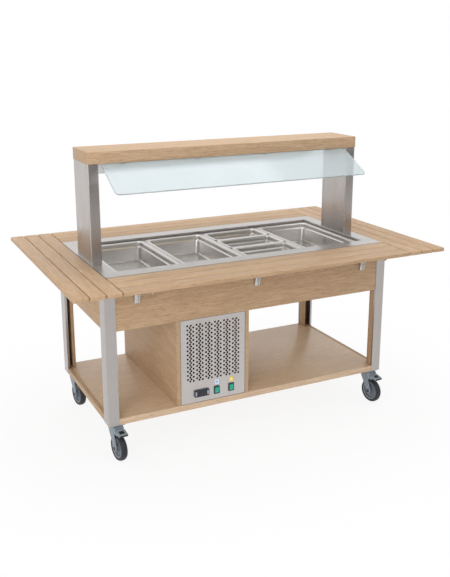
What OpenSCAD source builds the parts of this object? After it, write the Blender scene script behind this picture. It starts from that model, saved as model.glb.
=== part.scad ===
// Mobile salad bar: a chilled four-place well in a steel worktop, carried by
// an oak and steel trolley with fold-down oak flaps, a glass-fronted canopy
// and a plug-in cooling unit. Millimetres, +Z up, +X to the right, front at -Y.
// Origin: on the floor, under the middle of the worktop.

/* [Worktop] */
// Height of the steel worktop above the floor
top_z = 886; // [870:1:910]
// Width of the steel margin at each end of the recess
margin_end = 69; // [66:1:90]
// Width of the steel margin in front of and behind the recess
margin_front = 79; // [76:1:96]
// Thickness of the steel sheet in worktop, tank and pans
sheet = 1.5; // [1.2:0.1:2]
// Depth that the pan recess lies below the worktop
recess_drop = 18; // [14:1:24]
// Width of ledge left in front of and behind the pans
ledge_front = 19; // [15:1:24]
// Width of ledge left at both ends of the row of pans
ledge_end = 9.5; // [8:0.5:14]

/* [Pans] */
// Long side of a full pan over its rim
pan_d = 530; // [526:1:534]
// Short side of a full pan over its rim
pan_l = 325; // [323:1:327]
// Depth of every pan below its rim
pan_depth = 100; // [65:1:120]
// Gap between two neighbouring rims in the row
pan_gap = 11; // [9:1:16]
// Gap between the rims of the three small pans
third_gap = 1; // [0.6:0.1:2]
// Width of a pan's rim
rim_w = 13; // [11:0.5:15]
// Height of the turned-down lip under a rim
lip_h = 5.5; // [4:0.5:7]
// Corner radius of a pan's rim
pan_r = 24; // [18:1:30]

/* [Well] */
// Clear height from ledge to tank floor
tank_depth = 150; // [140:1:160]
// Thickness of the foam round the tank
foam = 32; // [25:1:34]
// Width of the raised rib on a divider bar
bar_rib = 8; // [6:0.5:8.5]
// Width of a divider bar's seat under the rims
bar_seat = 26; // [22:1:30]

/* [Carcass] */
// How far the legs stand out beyond the worktop at each end
leg_out_end = 17; // [15:1:25]
// How far the legs stand out beyond the worktop at front and back
leg_out_front = 15; // [13:1:22]
// Width of a leg's front plate
leg_w = 52; // [48:1:60]
// Depth of a leg's side plate
leg_d = 71; // [64:1:80]
// Thickness of the leg plates
leg_t = 2; // [1.5:0.1:3]
// Inward return along the edges of a leg
leg_return = 10; // [8:1:11]
// Thickness of the oak strip inside each leg
core_t = 17; // [14:1:20]
// Depth of the oak strip inside each leg
core_d = 38; // [30:1:44]
// Thickness of the oak aprons and compartment sides
board = 19; // [16:1:22]
// Height of the aprons
apron_h = 232; // [220:1:240]
// Thickness of the bottom shelf
shelf_t = 30; // [25:1:36]
// Section of the welded frame under the worktop
frame_s = 30; // [25:1:35]

/* [Flaps] */
// Width of the front and rear flaps
flap_long_w = 237; // [200:1:250]
// Width of the two end flaps
flap_end_w = 213; // [190:1:240]
// Thickness of the oak slats
slat_t = 18; // [16:1:24]
// Gap between two slats
slat_gap = 3; // [2:0.5:5]
// Easing along the edges of a slat
slat_ease = 2; // [1:0.5:4]
// Clearance between a raised flap and what lies beside or under it
flap_clear = 1.5; // [1:0.5:2.5]
// Distance of the outer hinge arms from the middle, long flaps
arm_long_x = 611; // [500:1:640]
// Distance of the hinge arms from the middle, end flaps
arm_end_x = 240; // [180:1:270]
// Height of a hinge bracket
bracket_h = 110; // [90:1:130]
// Width of a hinge bracket
bracket_w = 26; // [24:1:44]
// Diameter of a hinge pin
hinge_pin_d = 8; // [6:0.5:10]

/* [Machine compartment] */
// Middle of the compartment, left to right
comp_x = -228.5; // [-260:0.5:-200]
// Clear width between the compartment's sides
comp_w = 343; // [335:1:380]
// Diameter of the perforation holes
hole_d = 10.5; // [7:0.5:10.5]
// Spacing of neighbouring holes
hole_pitch = 12; // [11.5:0.1:12.5]
// Number of perforated bands
bands = 6; // [4:1:6]
// Spacing of the perforated bands
band_pitch = 47.8; // [46:0.1:50]
// Height of the perforated bands
band_h = 301; // [240:1:305]
// Diameter of the condenser fan
fan_d = 200; // [180:1:210]
// Diameter of the compressor pot
pot_d = 150; // [130:1:160]

/* [Canopy] */
// How far the canopy's ends stand in from the worktop's ends
canopy_in = 12; // [0:1:14]
// Depth of the canopy beam
canopy_d = 228; // [226:1:250]
// Height of the canopy beam
canopy_h = 57; // [50:1:65]
// Clear height from worktop to canopy
canopy_clear = 465; // [430:1:500]
// Thickness of a post, left to right
post_w = 52; // [46:1:54]
// Depth of a post, front to back
post_d = 226; // [200:1:226]
// Wall thickness of a post
post_t = 2; // [1.5:0.1:3]
// Gap between a glass panel's end and the post's inner face
glass_gap = 14; // [8:1:30]
// Slant length of a glass panel
glass_w = 232; // [180:1:240]
// Slope of a glass panel below the horizontal, degrees
glass_a = 27.6; // [20:0.1:40]
// Thickness of the glass
glass_t = 6; // [5:0.5:8]
// Distance of the outer glass clamps from the middle
clamp_x = 560; // [450:1:600]

/* [Casters] */
// Diameter of a wheel
wheel_d = 125; // [110:1:126]
// Width of a wheel
wheel_w = 31; // [26:1:32]
// Height of a caster with its plate
caster_h = 178; // [176:1:190]
// Horizontal distance from swivel axis to axle
trail = 38; // [32:1:42]
// Diameter of axle
axle_d = 10; // [8:0.5:12]
// Diameter of the king pin
king_d = 12; // [10:0.5:14]
// Distance of the swivel axis in from the end of the trolley
caster_in_x = 44; // [42:1:60]
// Distance of the swivel axis in from the front of the trolley
caster_in_y = 48; // [46:1:60]
// Turn of the casters as they stand, degrees
caster_turn = 7; // [0:1:45]

/* [Hidden] */

// Colours
OAK = [0.78, 0.64, 0.49];
STEEL = [0.72, 0.71, 0.70];
DARK_STEEL = [0.45, 0.45, 0.46];
GREY = [0.47, 0.50, 0.54];
BLACK = [0.10, 0.11, 0.12];
GREEN = [0.05, 0.45, 0.36];
GLASS = [0.80, 0.92, 0.92, 0.5];
COPPER = [0.72, 0.45, 0.20];
FOAM = [0.92, 0.90, 0.82];

eps = 0.01;      // overlap that joins two parts of one solid
run_fit = 0.1;   // radial running clearance of pins, axles and pivots
play = 0.3;      // clearance between parts that slide past each other

// Worktop and well
pan_pitch = pan_l + pan_gap;
row_half = 1.5 * pan_pitch + pan_l / 2;
recess_x = row_half + ledge_end;
recess_y = pan_d / 2 + ledge_front;
ledge_z = top_z - recess_drop;
top_l = 2 * (recess_x + margin_end);
top_d = 2 * (recess_y + margin_front);
seat = 8;                            // width of rim that rests on the ledge
well_x = row_half - seat;
well_y = pan_d / 2 - seat;
tank_floor_z = ledge_z - tank_depth;
rim_z = ledge_z + lip_h + sheet;
third_d = (pan_d - 2 * third_gap) / 3;
wall_r = 18;                         // corner radius of a pan's inner wall
shoulder = 5;                        // step of the stacking shoulder
shoulder_z = 22;                     // its depth below the rim

// Carcass
body_l = top_l + 2 * leg_out_end;
body_d = top_d + 2 * leg_out_front;
leg_z = caster_h;
apron_x = body_l / 2 - leg_t;        // outer faces of the aprons
apron_y = body_d / 2 - leg_t;
slat_z = top_z - slat_t;             // underside of the raised flaps
apron_top = slat_z - 1;
apron_z = apron_top - apron_h;
shelf_top = leg_z + shelf_t;
frame_x = apron_x - board - 1;
frame_y = apron_y - board - 0.5;
frame_top = top_z - sheet;

// Flaps: inner edge and hinge, measured outwards from the apron face
long_inner = top_d / 2 + flap_clear - apron_y;
end_inner = top_l / 2 + flap_clear - apron_x;
long_len = top_l - 2 * flap_clear;
end_len = 2 * (top_d / 2 + flap_clear + flap_long_w);
hinge_out = 14;
hinge_drop = 26;
hinge_z = slat_z - hinge_drop;
bracket_t = 3;
arm_t = 4;
arm_flange = 3;
arm_w = 28;
arm_tip = 12;
arm_eye = 10;                        // material round the pin, clear of the back plate

// Compartment
comp_x0 = comp_x - comp_w / 2;
comp_x1 = comp_x + comp_w / 2;
comp_z0 = shelf_top;
comp_z1 = apron_z;
panel_y = apron_y - 2;               // front face of the steel panels
panel_t = 1.5;
tray_t = 2;
band_top = comp_z1 - 20;
control_z = comp_z0 + 47;
tile_z = control_z + 41;
controller_x = comp_x - 64;
rocker_x = [comp_x + 17, comp_x + 95];
controller_size = [77, 35];
rocker_size = [30, 41];
rocker_hole = [24, 34];
rocker_rest = 7;                     // tilt of a switch that is on
rocker_pin_y = 4;                    // depth of its cross pin behind the panel's face
rocker_pin_d = 3;
key_play = 0.1;
key_size = [6.6, 21];
key_x = 31;
condenser_y = -panel_y + 26;
condenser_t = 44;
condenser_z = comp_z0 + 90;
condenser_w = 250;
condenser_h = 228;
shroud_y = condenser_y + condenser_t;
shroud_t = 46;
fan_y = shroud_y + 26;
fan_z = condenser_z + condenser_h / 2;
fan_shaft_d = 8;
motor_y = shroud_y + shroud_t;
pot_y = 120;
pot_h = 170;

// Canopy
canopy_l = top_l - 2 * canopy_in;
canopy_z = top_z + canopy_clear;
post_x1 = canopy_l / 2 - 1;
glass_l = 2 * (post_x1 - post_w - glass_gap);
light_in = 183;                      // from the canopy's end to the lamp
light_l = canopy_l - 2 * light_in;
light_w = 60;
light_h = 20;
glass_top_y = canopy_d / 2 - 5.5;
glass_top_z = canopy_z - 0.6;
clamp_w = 22;

// Casters
caster_x = body_l / 2 - caster_in_x;
caster_y = body_d / 2 - caster_in_y;
plate_t = 5;
plate_l = 72;
plate_d = 86;
fork_top = caster_h - plate_t - play;
wheel_r = wheel_d / 2;
fork_gap = wheel_w / 2 + 2.5;
fork_t = 5;
pedal_pivot = [36, fork_top - 21];
pedal_pin_d = 5;
shoe = pedal_pivot[1] - wheel_d - 2.8;   // reach of the brake shoe below the pivot

// ---- helpers ----

// Box between two corners
module block(a, b) {
    translate(a) cube(b - a);
}

// Points of a rectangle with round corners, n steps to a corner
function round_rect(l, d, r, n = 5) = [
    for (q = [0:3], i = [0:n])
        let (a = 90 * q + 90 * i / n,
             cx = (q == 0 || q == 3 ? 1 : -1) * (l / 2 - r),
             cy = (q < 2 ? 1 : -1) * (d / 2 - r))
        [cx + r * cos(a), cy + r * sin(a)]];

module rounded(l, d, r) {
    polygon(round_rect(l, d, r));
}

// Lays a profile drawn in [outwards, up] along X, centred, outwards at -Y
module along_x(len) {
    rotate([90, 0, -90]) linear_extrude(len, center = true) children();
}

// Puts a piece drawn for the front onto one side of the carcass
module on_side(turn, dist) {
    rotate([0, 0, turn]) translate([0, -dist, 0]) children();
}

// Copies a piece to both ends and to front and back by mirroring
module corners() {
    for (sx = [0, 1], sy = [0, 1])
        mirror([sx, 0, 0]) mirror([0, sy, 0]) children();
}

// ---- worktop and well ----

// One side of the worktop, folded from sheet: turned-down edge, margin, recess
// wall and ledge. Drawn in [outwards, up], mitred along the plan given.
module top_strip(turn, half, len, recess, well, plan) {
    color(STEEL) intersection() {
        rotate([0, 0, turn]) along_x(len) union() {
            translate([half - sheet, apron_top]) square([sheet, top_z - apron_top]);
            translate([recess, top_z - sheet]) square([half - recess, sheet]);
            translate([recess, ledge_z - sheet]) square([sheet, top_z - ledge_z + sheet]);
            translate([well, ledge_z - sheet]) square([recess + sheet - well, sheet]);
        }
        translate([0, 0, apron_top - 10]) linear_extrude(40) polygon(plan);
    }
}

// The four strips meet at mitres that run through these corners
mitre = [[recess_x - 60, recess_y - 60 * margin_front / margin_end], [well_x, well_y], [recess_x, recess_y],
    [top_l / 2, top_d / 2], [top_l / 2 + margin_end, top_d / 2 + margin_front]];
function flip(points, sx, sy) = [for (p = points) [sx * p[0], sy * p[1]]];
function back(points) = [for (i = [len(points) - 1:-1:0]) points[i]];

module stainless_top() {
    for (s = [-1, 1]) {
        top_strip(s > 0 ? 180 : 0, top_d / 2, top_l, recess_y, well_y,
            concat(flip(mitre, -1, s), back(flip(mitre, 1, s))));
        top_strip(s * 90, top_l / 2, top_d, recess_x, well_x,
            concat(flip(mitre, s, -1), back(flip(mitre, s, 1))));
    }
}

module well_tank() {
    top = ledge_z - sheet;
    color(STEEL) difference() {
        union() {
            block([-well_x - sheet, -well_y - sheet, tank_floor_z - sheet],
                  [well_x + sheet, well_y + sheet, top]);
            block([-well_x - 12, -well_y - 12, top - sheet],
                  [well_x + 12, well_y + 12, top]);
            drain();
        }
        block([-well_x, -well_y, tank_floor_z], [well_x, well_y, top + 1]);
        translate([drain_x, 0, tank_floor_z - foam - 40]) cylinder(d = drain_d - 6, h = foam + 60, $fn = 48);
    }
}

drain_x = 420;
drain_d = 28;

module drain() {
    translate([drain_x, 0, tank_floor_z - foam - 24]) cylinder(d = drain_d, h = foam + 24, $fn = 48);
    translate([drain_x, 0, tank_floor_z - foam - 24]) cylinder(d = drain_d + 12, h = 12, $fn = 6);
}

// Foam boards: one under the tank, four round it
module tank_insulation() {
    x = well_x + sheet;
    y = well_y + sheet;
    z = tank_floor_z - sheet;
    top = ledge_z - 2 * sheet;
    color(FOAM) {
        difference() {
            block([-x - foam, -y - foam, z - foam], [x + foam, y + foam, z]);
            translate([drain_x, 0, z - foam - 10]) cylinder(d = drain_d + 0.6, h = foam + 20, $fn = 48);
        }
        for (s = [-1, 1]) {
            translate([0, s * (y + foam / 2), (z + top) / 2])
                cube([2 * (x + foam), foam, top - z], center = true);
            translate([s * (x + foam / 2), 0, (z + top) / 2])
                cube([foam, 2 * y, top - z], center = true);
        }
    }
}

// Divider bar: a seat under two rims and a raised rib between them
module divider_bars() {
    color(STEEL) for (i = [-1:1]) translate([i * pan_pitch, 0, 0]) {
        block([-bar_seat / 2, -well_y + 0.5, ledge_z - sheet], [bar_seat / 2, well_y - 0.5, ledge_z]);
        block([-bar_rib / 2, -well_y - seat, ledge_z], [bar_rib / 2, well_y + seat, rim_z - 1]);
        block([-bar_seat / 2, -well_y + 0.5, ledge_z - 16], [-bar_seat / 2 + sheet, well_y - 0.5, ledge_z]);
        block([bar_seat / 2 - sheet, -well_y + 0.5, ledge_z - 16], [bar_seat / 2, well_y - 0.5, ledge_z]);
    }
}

// Skin through a stack of outlines with equally many points, closed at both ends
module loft(rings) {
    n = len(rings[0][1]);
    last = len(rings) - 1;
    points = [for (q = rings) for (v = q[1]) [v[0], v[1], q[0]]];
    sides = [for (i = [0:last - 1], k = [0:n - 1])
        [i * n + k, (i + 1) * n + k, (i + 1) * n + (k + 1) % n, i * n + (k + 1) % n]];
    floor_out = [for (k = [0:n - 1]) k];
    floor_in = [for (k = [n - 1:-1:0]) last * n + k];
    polyhedron(points, concat([floor_out], sides, [floor_in]), convexity = 6);
}

// Pressed pan, origin at the middle of its seat plane: rim with a turned-down
// lip, rolled mouth, stacking shoulder, tapered wall and dished floor
module pan(l, d) {
    top = lip_h + sheet;
    w = rim_w;
    low = top - pan_depth;
    t = sheet;
    inside = [[w, 0], [w + 1.5, -0.9], [w + 3.5, -3.2], [w + 4.5, -7], [w + 5, -shoulder_z],
        [w + 5 + shoulder, -shoulder_z - 6]];
    // each level is [inset, height, corner radius], from the floor's underside
    // up the outer skin, over the rim and down the inner skin
    levels = concat(
        [[w + 26, low, 16], [w + 20, low + 2, 18], [w + 15.5, low + 9, wall_r + t]],
        [for (k = [5:-1:1]) [inside[k][0] - t, top + inside[k][1] - 0.7 * t, wall_r + t]],
        [[w - 0.8, top - t, wall_r + t], [t, top - t, pan_r - t], [t, 0, pan_r - t], [0, 0, pan_r],
         [0, top - 0.8, pan_r], [0.8, top, pan_r - 0.8]],
        [for (k = [0:5]) [inside[k][0], top + inside[k][1], wall_r]],
        [[w + 17, low + 9.5, wall_r], [w + 21, low + 3.2, 18 - t], [w + 26.5, low + t, 16 - t]]);
    color(STEEL) loft([for (q = levels) [q[1], round_rect(l - 2 * q[0], d - 2 * q[0], q[2], 4)]]);
}

module full_pan(i) {
    translate([(i - 1.5) * pan_pitch, 0, ledge_z]) pan(pan_l, pan_d);
}

module third_pan(j) {
    translate([pan_pitch / 2, j * (third_d + third_gap), ledge_z]) pan(pan_l, third_d);
}

// ---- carcass ----

module top_frame() {
    wall = 2;
    z0 = frame_top - frame_s;
    color(DARK_STEEL) difference() {
        block([-frame_x, -frame_y, z0], [frame_x, frame_y, frame_top]);
        block([-frame_x + frame_s, -frame_y + frame_s, z0 - 1],
              [frame_x - frame_s, frame_y - frame_s, frame_top + 1]);
        difference() {
            block([-frame_x + wall, -frame_y + wall, z0 + wall],
                  [frame_x - wall, frame_y - wall, frame_top - wall]);
            block([-frame_x + frame_s - wall, -frame_y + frame_s - wall, z0],
                  [frame_x - frame_s + wall, frame_y - frame_s + wall, frame_top]);
        }
    }
}

module aprons() {
    long_x = body_l / 2 - leg_w;
    end_y = body_d / 2 - leg_d;
    color(OAK) for (s = [-1, 1]) {
        translate([0, s * (apron_y - board / 2), apron_z + apron_h / 2])
            cube([2 * long_x, board, apron_h], center = true);
        translate([s * (apron_x - board / 2), 0, apron_z + apron_h / 2])
            cube([board, 2 * end_y, apron_h], center = true);
    }
}

// Leg at the right front: two plates with turned-in edges
module leg_profile() {
    x = body_l / 2;
    y = -body_d / 2;
    z1 = apron_top;
    block([x - leg_w, y, leg_z], [x, y + leg_t, z1]);
    block([x - leg_t, y, leg_z], [x, y + leg_d, z1]);
    block([x - leg_w, y, shelf_top], [x - leg_w + leg_t, y + leg_t + leg_return, z1]);
    block([x - leg_t - leg_return, y + leg_d - leg_t, shelf_top], [x, y + leg_d, z1]);
}

module legs() {
    color(STEEL) corners() union() leg_profile();
}

module leg_cores() {
    x = body_l / 2 - leg_w + leg_t + 0.5;
    y = -body_d / 2 + leg_t + leg_return + 2;
    color(OAK) corners() block([x, y, shelf_top], [x + core_t, y + core_d, frame_top - frame_s]);
}

module shelf() {
    color(OAK) block([-apron_x, -apron_y, leg_z], [apron_x, apron_y, shelf_top]);
}

// ---- flaps ----

// Cross-section of a slat, drawn in [outwards, up]
module slat_section(w) {
    e = slat_ease;
    polygon([[e, 0], [w - e, 0], [w, e], [w, slat_t - e],
             [w - e, slat_t], [e, slat_t], [0, slat_t - e], [0, e]]);
}

module slats(len, inner, width) {
    w = (width - 2 * slat_gap) / 3;
    color(OAK) for (i = [0:2])
        translate([0, 0, slat_z]) along_x(len)
            translate([inner + i * (w + slat_gap), 0]) slat_section(w);
}

// Outline of an arm's web: deep at the pin, shallow at the tip
module arm_web(reach) {
    b = hinge_z - arm_eye;
    polygon([[hinge_out - arm_eye, hinge_z], [hinge_out - 0.7 * arm_eye, hinge_z - 0.7 * arm_eye],
             [hinge_out, b], [hinge_out + 12, b],
             [reach, slat_z - arm_tip], [reach, slat_z - arm_flange + eps],
             [hinge_out - arm_eye, slat_z - arm_flange + eps]]);
}

module arm(inner, width) {
    reach = inner + width - 20;
    difference() {
        union() {
            along_x(arm_t) arm_web(reach);
            block([-arm_w / 2, -reach, slat_z - arm_flange], [arm_w / 2, -2, slat_z]);
        }
        translate([0, -hinge_out, hinge_z]) rotate([0, 90, 0])
            cylinder(d = hinge_pin_d + 2 * run_fit, h = 60, center = true, $fn = 48);
    }
}

module arms(xs, inner, width) {
    color(STEEL) for (x = xs) translate([x, 0, 0]) arm(inner, width);
}

// Hinge bracket on an apron: back plate, two tapered cheeks and the pin
module bracket() {
    z0 = slat_z - bracket_h - 2;
    z1 = hinge_z + 13;
    block([-bracket_w / 2, -bracket_t, z0], [bracket_w / 2, 0, z1 - 1]);
    for (s = [-1, 1]) translate([s * (bracket_w - bracket_t) / 2, 0, 0]) along_x(bracket_t)
        polygon([[0, z0], [9, z0], [hinge_out + 13, hinge_z - 16],
                 [hinge_out + 13, hinge_z + 5], [hinge_out + 6, z1], [0, z1]]);
    translate([0, -hinge_out, hinge_z]) rotate([0, 90, 0])
        cylinder(d = hinge_pin_d, h = bracket_w + 4, center = true, $fn = 48);
}

long_arms = [-arm_long_x, 0, arm_long_x];
end_arms = [-arm_end_x, arm_end_x];

module flap_brackets() {
    color(STEEL) {
        for (t = [0, 180], x = long_arms) on_side(t, apron_y) translate([x, 0, 0]) union() bracket();
        for (t = [-90, 90], x = end_arms) on_side(t, apron_x) translate([x, 0, 0]) union() bracket();
    }
}

// ---- machine compartment ----

module compartment_sides() {
    color(OAK) for (x = [comp_x0 - board, comp_x1])
        block([x, -apron_y, comp_z0], [x + board, apron_y, comp_z1]);
}

// Perforated band: holes on a triangular grid with every third place left
// solid, so that a plain island stands inside each ring of six holes
module band_holes() {
    rise = hole_pitch * sqrt(3);
    rows = floor(band_h / rise);
    for (c = [-2.5, -0.5, 0.5, 2.5], r = [0:rows - 1])
        translate([c * hole_pitch / 2, -(r + 0.5 + shift_of(c)) * rise])
            circle(d = hole_d, $fn = 24);
}

// Half a row's offset for every other column of the grid
function shift_of(c) = (abs(c) == 2.5 ? 1 : 0) * (c > 0 ? 0.5 : 0) + (c == -0.5 ? 0.5 : 0);

module controls_cut() {
    translate([controller_x - comp_x, control_z]) square([71, 29], center = true);
    for (x = rocker_x) translate([x - comp_x, control_z]) square(rocker_hole + [1, 1], center = true);
}

// A steel cover with four turned-back edges, drawn in [x, z] about comp_x
module cover(depth) {
    w = comp_w - 2 * play;
    translate([comp_x - w / 2, 0, comp_z0 + play]) {
        h = comp_z1 - comp_z0 - 2 * play;
        for (x = [0, w - panel_t]) translate([x, 0, 0]) cube([panel_t, depth, h]);
        for (z = [0, h - panel_t]) translate([0, 0, z]) cube([w, depth, panel_t]);
    }
}

module grille_panel() {
    w = comp_w - 2 * play;
    color(STEEL) translate([0, -panel_y, 0]) union() {
        cover(14);
        translate([comp_x, panel_t, 0]) rotate([90, 0, 0]) linear_extrude(panel_t) difference() {
            translate([-w / 2, comp_z0 + play]) square([w, comp_z1 - comp_z0 - 2 * play]);
            for (b = [0:bands - 1])
                translate([(b - (bands - 1) / 2) * band_pitch, band_top]) band_holes();
            controls_cut();
        }
    }
}

gland_x = comp_w / 2 - 40;
gland_d = 20;
cable_d = 9;

module rear_vent_panel() {
    w = comp_w - 2 * play;
    slots = 14;
    color(STEEL) translate([0, panel_y, 0]) {
        difference() {
            union() {
                mirror([0, 1, 0]) cover(14);
                translate([comp_x, 0, 0]) rotate([90, 0, 0]) linear_extrude(panel_t)
                    translate([-w / 2, comp_z0 + play]) square([w, comp_z1 - comp_z0 - 2 * play]);
            }
            for (i = [0:slots - 1])
                translate([comp_x - 110, -5, comp_z0 + 110 + i * 20]) cube([220, 10, 8]);
            translate([comp_x + gland_x, 0, comp_z0 + 50]) rotate([90, 0, 0])
                cylinder(d = gland_d + 2 * play, h = 20, center = true, $fn = 48);
        }
    }
}

module unit_tray() {
    z = comp_z0;
    x0 = comp_x0 + 6;
    x1 = comp_x1 - 6;
    y0 = -panel_y + 18;
    y1 = panel_y - 60;
    color(DARK_STEEL) difference() {
        block([x0, y0, z], [x1, y1, z + 8]);
        block([x0 + tray_t, y0 + tray_t, z + tray_t], [x1 - tray_t, y1 - tray_t, z + 9]);
    }
}

module compressor() {
    z = comp_z0 + tray_t;
    r = pot_d / 2;
    color(BLACK) translate([comp_x, pot_y, z]) {
        rotate_extrude($fn = 96) polygon(concat([[0, 16], [r - 22, 16]],
            [for (a = [0:15:90]) [r - 22 + 22 * sin(a), 38 - 22 * cos(a)]],
            [[r + 3, 80], [r + 3, 86]],
            [for (a = [0:15:90]) [r - 40 + 40 * cos(a), pot_h - 30 + 30 * sin(a)]],
            [[0, pot_h]]));
        difference() {
            block([-r, -r + 12, 12], [r, r - 12, 16 + eps]);
            for (x = [-1, 1], y = [-1, 1]) translate([x * (r - 14), y * (r - 26), 0])
                cylinder(d = 9, h = 30, $fn = 32);
        }
        for (x = [-1, 1], y = [-1, 1]) translate([x * (r - 14), y * (r - 26), 0])
            cylinder(d = 20, h = 12, $fn = 32);
        block([r - 8, -32, 70], [r + 30, 32, 128]);
    }
}

module condenser() {
    fins = 15;
    gap = (condenser_w - 2) / (fins - 1);
    x0 = comp_x - condenser_w / 2;
    x1 = comp_x + condenser_w / 2;
    y1 = condenser_y + condenser_t;
    z1 = condenser_z + condenser_h;
    color(DARK_STEEL) {
        // fins between two end plates that stand in the tray
        for (i = [1:fins - 2])
            block([x0 + i * gap, condenser_y, condenser_z], [x0 + i * gap + 2, y1, z1]);
        for (x = [x0, x1 - 2])
            block([x, condenser_y, comp_z0 + tray_t], [x + 2, y1, z1]);
        for (z = [condenser_z, z1 - 4])
            block([x0, condenser_y, z], [x1, y1, z + 4]);
        for (i = [0:4]) translate([comp_x, condenser_y + condenser_t / 2, condenser_z + 26 + i * 44])
            rotate([0, 90, 0]) cylinder(d = 10, h = condenser_w + 30, center = true, $fn = 32);
    }
}

module fan_shroud() {
    w = condenser_w;
    color(BLACK) difference() {
        block([comp_x - w / 2, shroud_y, comp_z0 + tray_t], [comp_x + w / 2, shroud_y + shroud_t, condenser_z + condenser_h]);
        translate([comp_x, shroud_y - 1, fan_z]) rotate([-90, 0, 0])
            cylinder(d = fan_d + 12, h = shroud_t - 4, $fn = 96);
        for (a = [0:3]) translate([comp_x, shroud_y + shroud_t - 6, fan_z]) rotate([-90, 45 + 90 * a, 0])
            linear_extrude(12) polygon([[18, 14], [fan_d / 2 - 6, 14], [fan_d / 2 - 34, fan_d / 2 - 44], [14, 30]]);
        translate([comp_x, shroud_y, fan_z]) rotate([-90, 0, 0])
            cylinder(d = fan_shaft_d + 4, h = shroud_t + 10, $fn = 32);
    }
}

module fan_motor() {
    color(DARK_STEEL) translate([comp_x, motor_y, fan_z]) rotate([-90, 0, 0]) {
        rotate_extrude($fn = 64) polygon([[0, 0], [32, 0], [36, 5], [36, 38], [30, 46], [0, 46]]);
        translate([0, 0, -24]) cylinder(d = fan_shaft_d, h = 24 + eps, $fn = 48);
    }
}

module condenser_fan() {
    blades = 5;
    color(BLACK) translate([comp_x, fan_y, fan_z]) rotate([-90, 0, 0]) difference() {
        union() {
            translate([0, 0, -9]) cylinder(d = 44, h = 18, $fn = 64);
            intersection() {
                for (b = [0:blades - 1]) rotate([0, 0, b * 360 / blades])
                    translate([14, 0, 0]) rotate([28, 0, 0]) translate([0, -24, -1]) cube([fan_d, 48, 2]);
                translate([0, 0, -20]) cylinder(d = fan_d, h = 40, $fn = 96);
            }
        }
        translate([0, 0, -8]) cylinder(d = fan_shaft_d + 2 * run_fit, h = 60, $fn = 48);
    }
}

// Upright pipe with its foot at [x, y]
module riser(x, y, d, z0, z1) {
    translate([x, y, z0]) cylinder(d = d, h = z1 - z0, $fn = 32);
}

// Suction pipe from tank to pot, and the run from pot to condenser and tank
module pipework() {
    top = tank_floor_z - sheet - foam;
    pot_top = comp_z0 + tray_t + pot_h;
    run_z = comp_z1 - 40;
    cond_top = condenser_z + condenser_h;
    cond_y = condenser_y + condenser_t / 2;
    color(COPPER) {
        riser(comp_x - 20, pot_y, 12, pot_top, top);
        union() {
            riser(comp_x + 20, pot_y, 8, pot_top, run_z);
            translate([comp_x + 20, cond_y, run_z]) rotate([-90, 0, 0]) cylinder(d = 8, h = pot_y - cond_y, $fn = 32);
            riser(comp_x + 20, cond_y, 8, cond_top, run_z);
            for (y = [cond_y, pot_y]) translate([comp_x + 20, y, run_z]) cube(12, center = true);
        }
        union() {
            riser(comp_x - 60, cond_y, 8, cond_top, top);
            riser(comp_x - 60, cond_y, 26, cond_top + 60, cond_top + 140);
        }
    }
}

// Gland for the mains cable, its thread through the rear panel
module cable_gland() {
    color(BLACK) translate([comp_x + gland_x, panel_y, comp_z0 + 50]) rotate([90, 0, 0]) difference() {
        union() {
            translate([0, 0, -18]) cylinder(d = 24, h = 18, $fn = 6);
            cylinder(d = gland_d, h = 14, $fn = 48);
        }
        translate([0, 0, -20]) cylinder(d = cable_d, h = 40, $fn = 32);
    }
}

// ---- controls ----

module control_frames() {
    f = -panel_y;
    w = controller_size[0];
    h = controller_size[1];
    color(BLACK) {
        translate([controller_x, f, control_z]) difference() {
            union() {
                rotate([90, 0, 0]) linear_extrude(7) rounded(w, h, 4);
                translate([-35, 0, -14]) cube([70, 54, 28]);
            }
            translate([0, -7, 0]) cube([46, 3, 20], center = true);
            for (s = [-1, 1]) translate([s * key_x, -7, 0])
                cube([key_size[0] + 2 * key_play, 8, key_size[1] + 2 * key_play], center = true);
        }
        for (x = rocker_x) translate([x, f, control_z]) difference() {
            union() {
                rotate([90, 0, 0]) linear_extrude(3) rounded(rocker_size[0], rocker_size[1], 2);
                translate([0, 12, 0]) cube([rocker_hole[0], 24, rocker_hole[1]], center = true);
            }
            translate([0, 6, 0]) cube([rocker_hole[0] - 3, 20, rocker_hole[1] - 3], center = true);
        }
        for (x = rocker_x) translate([x, f + rocker_pin_y, control_z]) rotate([0, 90, 0])
            cylinder(d = rocker_pin_d, h = rocker_hole[0] - 2, center = true, $fn = 32);
    }
}

module key(s) {
    color(GREY) translate([controller_x + s * key_x, -panel_y - 6.2, control_z])
        cube([key_size[0], 4, key_size[1]], center = true);
}

// Rocker: a curved paddle on a cross pin, drawn tilted as when switched on
module rocker(x) {
    w = rocker_hole[0] - 4;
    color(GREEN) translate([x, -panel_y + rocker_pin_y, control_z]) rotate([rocker_rest, 0, 0])
        rotate([90, 0, 90]) difference() {
            linear_extrude(w, center = true)
                polygon([[-9, -14.1], [-9.6, 0], [-9, 14.1], [-2, 14.3], [4, 6], [4, -6], [-2, -14.3]]);
            cylinder(d = rocker_pin_d + 2 * run_fit, h = w + 2, center = true, $fn = 32);
        }
}

module symbol_tiles() {
    color("white") for (x = rocker_x) translate([x, -panel_y, tile_z])
        rotate([90, 0, 0]) linear_extrude(1.2) rounded(20, 23, 2);
}

// ---- canopy ----

module canopy() {
    e = 2;
    h = canopy_h;
    w = canopy_d / 2;
    color(OAK) difference() {
        translate([0, 0, canopy_z]) along_x(canopy_l)
            polygon([[-w + e, 0], [w - e, 0], [w, e], [w, h - e], [w - e, h], [-w + e, h], [-w, h - e], [-w, e]]);
        translate([0, 0, canopy_z + light_h / 2 - 1])
            cube([light_l, light_w, light_h + 2], center = true);
    }
}

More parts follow.
